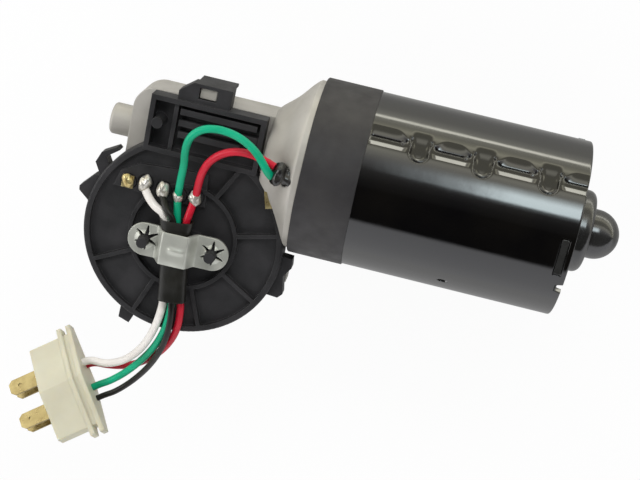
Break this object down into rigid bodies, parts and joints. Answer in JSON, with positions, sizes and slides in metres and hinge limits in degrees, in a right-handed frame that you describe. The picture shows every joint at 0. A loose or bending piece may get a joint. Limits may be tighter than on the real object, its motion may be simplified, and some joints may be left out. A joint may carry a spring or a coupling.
{
  "type": "wiper motor",
  "caption": "Wiper motor with a black yoke, a cast worm-gear housing, a ribbed plastic cover with a clamped cable, and short leads ending in an ivory blade plug",
  "frame": {"origin": "on the output shaft's axis, in the plane of the three mounting boss faces", "axes": "+X along the armature towards the rear dome, +Y from the output shaft towards the armature, +Z out through the gear cover, away from the mounting bosses"},
  "size_m": [0.2116, 0.163, 0.0851],
  "materials": {
    "cast_housing": "die-cast, fine grain, slightly warm grey",
    "yoke_black": "smooth gloss black enamel",
    "band_black": "satin black band",
    "end_black": "satin black pressed steel",
    "cover_plastic": "moulded, glass-filled, fine grain",
    "black_plastic": "moulded",
    "clamp_zinc": "bright zinc",
    "plain_steel": "ground steel",
    "hard_steel": "polished",
    "lamination_steel": "stacked sheet, thin black coating",
    "copper_wire": "enamelled copper",
    "copper_bar": "turned copper",
    "sintered_bronze": "porous, oiled",
    "brass_sheet": "stamped brass",
    "tinned_brass": "tinned",
    "solder": "bright solder",
    "ferrite": "sintered, dull dark grey",
    "carbon": "pressed carbon",
    "wheel_plastic": "natural moulded acetal",
    "card_insulation": "pressed board",
    "gasket_rubber": "smooth",
    "grommet_rubber": "smooth",
    "sleeve_black": "smooth, slight sheen",
    "plug_ivory": "translucent natural nylon",
    "wire_white": "smooth insulation",
    "wire_red": "smooth insulation",
    "wire_green": "smooth insulation",
    "wire_black": "smooth insulation"
  },
  "bodies": {
    "motor_frame": {"gear_housing": "cast_housing", "worm_end_bush": "sintered_bronze", "front_bush": "sintered_bronze", "thrust_ball": "hard_steel", "thrust_screw": "plain_steel", "output_bushes": "sintered_bronze", "yoke": "yoke_black", "yoke_band": "band_black", "end_plate": "end_black", "rear_bush": "sintered_bronze", "bush_retainer": "plain_steel", "magnets": "ferrite", "magnet_clips": "plain_steel", "brush_plate": "card_insulation", "brush_plate_screws": "plain_steel", "brush_boxes": "brass_sheet", "brush_spring_upper": "hard_steel", "brush_spring_lower": "hard_steel", "shaft_washer": "clamp_zinc", "thrust_washer": "plain_steel", "gear_cover": "cover_plastic", "cover_gasket": "gasket_rubber", "terminals": "tinned_brass", "solder_joints": "solder", "contact_fingers": "brass_sheet", "cable_clamp": "clamp_zinc", "wire_sleeve": "sleeve_black", "plug_housing": "plug_ivory", "plug_blades": "brass_sheet", "lead_white": "wire_white", "lead_red": "wire_red", "lead_green": "wire_green", "lead_black": "wire_black", "grommet": "grommet_rubber", "jumper_green": "wire_green", "jumper_red": "wire_red", "earth_tab": "tinned_brass"},
    "armature": {"armature_shaft": "plain_steel", "lamination_core": "lamination_steel", "windings": "copper_wire", "commutator_hub": "black_plastic", "commutator_bars": "copper_bar", "shaft_insulators": "black_plastic"},
    "output": {"worm_wheel": "wheel_plastic", "contact_disc": "brass_sheet", "output_shaft": "plain_steel", "shaft_circlip": "plain_steel"},
    "brush_upper": {"brush_upper": "carbon"},
    "brush_lower": {"brush_lower": "carbon"}
  },
  "joints": [
    {"name": "armature_spin", "type": "hinge", "parent": "motor_frame", "child": "armature", "pos_m": [0, 0.034, 0.02], "axis": [1, 0, 0], "continuous": true},
    {"name": "output_spin", "type": "hinge", "parent": "motor_frame", "child": "output", "pos_m": [0, 0, 0], "axis": [0, 0, 1], "continuous": true},
    {"name": "brush_upper_slide", "type": "slide", "parent": "motor_frame", "child": "brush_upper", "axis": [0, 0, 1], "range_m": [0, 0.002], "stiffness_N_per_m": 300, "springref_m": -0.01, "deforming": ["brush_spring_upper"]},
    {"name": "brush_lower_slide", "type": "slide", "parent": "motor_frame", "child": "brush_lower", "axis": [0, 0, -1], "range_m": [0, 0.002], "stiffness_N_per_m": 300, "springref_m": -0.01, "deforming": ["brush_spring_lower"]}
  ],
  "couplings": [
    {"joint": "output_spin", "follows": "armature_spin", "ratio": 0.02}
  ]
}
